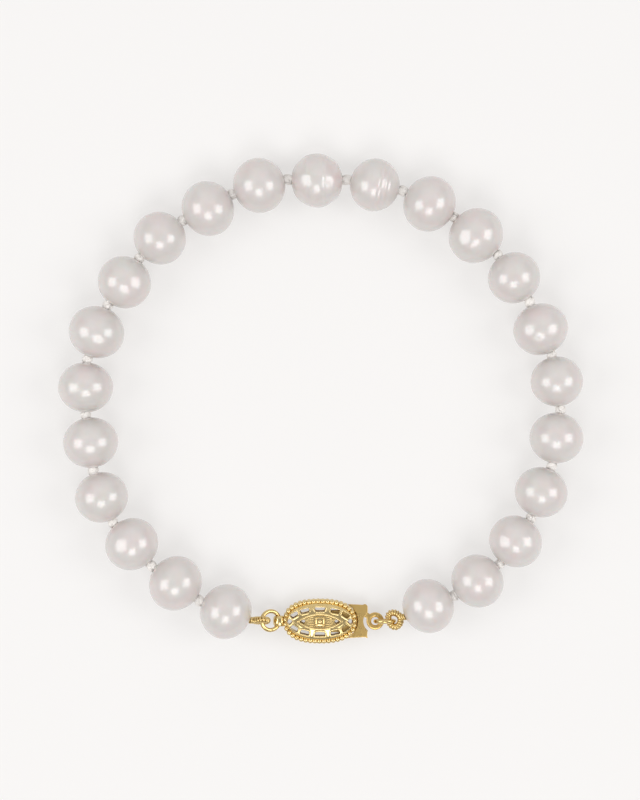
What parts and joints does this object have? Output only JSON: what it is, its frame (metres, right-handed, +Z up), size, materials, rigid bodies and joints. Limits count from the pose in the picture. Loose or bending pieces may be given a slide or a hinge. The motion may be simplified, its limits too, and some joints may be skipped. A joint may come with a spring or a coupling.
{
  "type": "pearl bracelet",
  "caption": "Closed strand of knotted near-round white pearls fastened by a pierced oval gold clasp, lying flat as a loop.",
  "frame": {"origin": "middle of the bracelet's box, on the surface that it lies on", "axes": "+Z up through the loop, +X along the clasp from its eye to its hook, the clasp on the -Y side"},
  "size_m": [0.0684, 0.0638, 0.0071],
  "materials": {
    "pearl": "white freshwater pearl nacre with a satin lustre",
    "silk": "twisted white silk",
    "gold": "polished yellow gold with darker recesses"
  },
  "bodies": {
    "root": {"pearl_01": "pearl", "pearl_02": "pearl", "pearl_03": "pearl", "pearl_04": "pearl", "pearl_05": "pearl", "pearl_06": "pearl", "pearl_07": "pearl", "pearl_08": "pearl", "pearl_09": "pearl", "pearl_10": "pearl", "pearl_11": "pearl", "pearl_12": "pearl", "pearl_13": "pearl", "pearl_14": "pearl", "pearl_15": "pearl", "pearl_16": "pearl", "pearl_17": "pearl", "pearl_18": "pearl", "pearl_19": "pearl", "pearl_20": "pearl", "pearl_21": "pearl", "pearl_22": "pearl", "pearl_23": "pearl", "silk_strand": "silk", "gimp_loop_left": "gold", "gimp_loop_right": "gold", "jump_ring_left": "gold", "jump_ring_right": "gold", "clasp_housing": "gold", "clasp_hook": "gold"}
  },
  "joints": []
}
